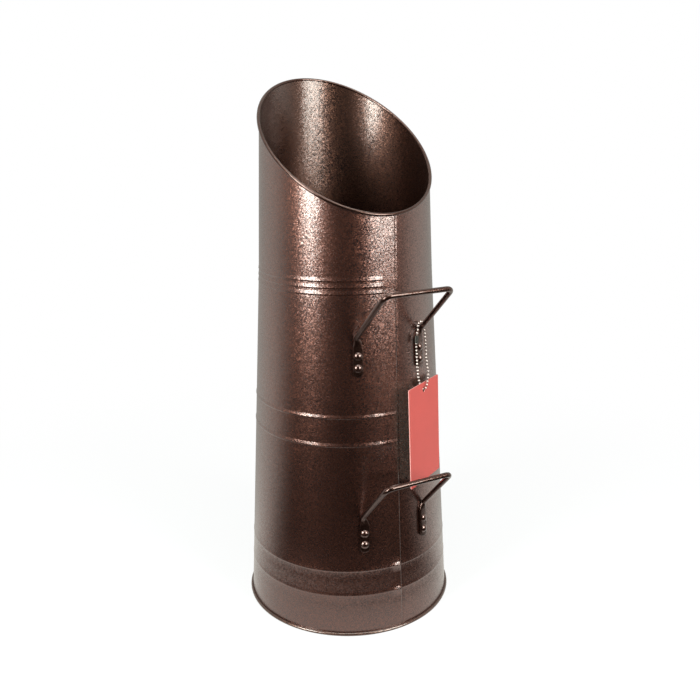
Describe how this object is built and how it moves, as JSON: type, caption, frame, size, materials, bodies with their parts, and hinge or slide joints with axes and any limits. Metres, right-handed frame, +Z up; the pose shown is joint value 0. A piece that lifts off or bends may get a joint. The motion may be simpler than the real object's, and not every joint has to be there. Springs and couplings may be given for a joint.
{
  "type": "coal scuttle",
  "caption": "Tall tapering coal scuttle in hammered bronze paint, with a slanting mouth and two fixed rod handles, for storing and pouring coal.",
  "frame": {"origin": "on the body's axis, on the floor that the rolled foot stands on", "axes": "+Z up, both handles and the mouth's low lip towards -Y, the high pouring lip towards +Y, +X to the right seen from the handles' side"},
  "size_m": [0.21, 0.2433, 0.5165],
  "materials": {
    "hammered_paint": "gloss hammered bronze paint",
    "handle_paint": "gloss hammered bronze paint on rod",
    "rivet_paint": "gloss bronze paint on steel rivets",
    "steel_wire": "bare drawn wire",
    "nickel_chain": "bright nickel plate",
    "red_card": "printed card, bare of words"
  },
  "bodies": {
    "scuttle": {"body_shell": "hammered_paint", "rim_roll": "hammered_paint", "rim_wire": "steel_wire", "base_plate": "hammered_paint", "base_wire": "steel_wire", "upper_handle": "handle_paint", "lower_handle": "handle_paint", "upper_left_top_rivet": "rivet_paint", "upper_left_bottom_rivet": "rivet_paint", "upper_right_top_rivet": "rivet_paint", "upper_right_bottom_rivet": "rivet_paint", "lower_left_top_rivet": "rivet_paint", "lower_left_bottom_rivet": "rivet_paint", "lower_right_top_rivet": "rivet_paint", "lower_right_bottom_rivet": "rivet_paint"},
    "chain": {"tag_chain": "nickel_chain", "tag_chain_clasp": "nickel_chain"},
    "tag": {"tag_card": "red_card"}
  },
  "joints": [
    {"name": "chain_swing", "type": "hinge", "parent": "scuttle", "child": "chain", "pos_m": [0.0336, -0.08264, 0.29229], "axis": [-0.8746, -0.4848, 0], "range_deg": [0, 4]},
    {"name": "card_swing", "type": "hinge", "parent": "chain", "child": "tag", "pos_m": [0.03165, -0.0919, 0.23632], "axis": [0.4845, -0.874, 0.0384], "range_deg": [-12, 12]}
  ]
}
